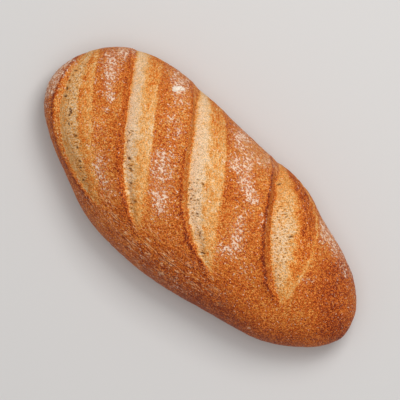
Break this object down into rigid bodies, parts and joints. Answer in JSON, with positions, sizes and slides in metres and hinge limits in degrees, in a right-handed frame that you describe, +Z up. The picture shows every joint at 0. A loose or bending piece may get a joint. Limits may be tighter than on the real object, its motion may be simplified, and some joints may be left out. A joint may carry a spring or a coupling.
{
  "type": "spelt bread loaf",
  "caption": "Long free-standing spelt loaf with a domed browned crust, slanting opened cuts with raised lips and pale crumb, light flour dust and a flat underside.",
  "frame": {"origin": "middle of the flat underside, on the surface the loaf rests on", "axes": "+X along the loaf from the blunt end to the slimmer end, +Y across it towards the side over which the cuts run down, +Z up"},
  "size_m": [0.28, 0.1262, 0.0717],
  "materials": {
    "crust": "satin",
    "flour": "matte"
  },
  "bodies": {
    "root": {"loaf": "crust"}
  },
  "joints": []
}
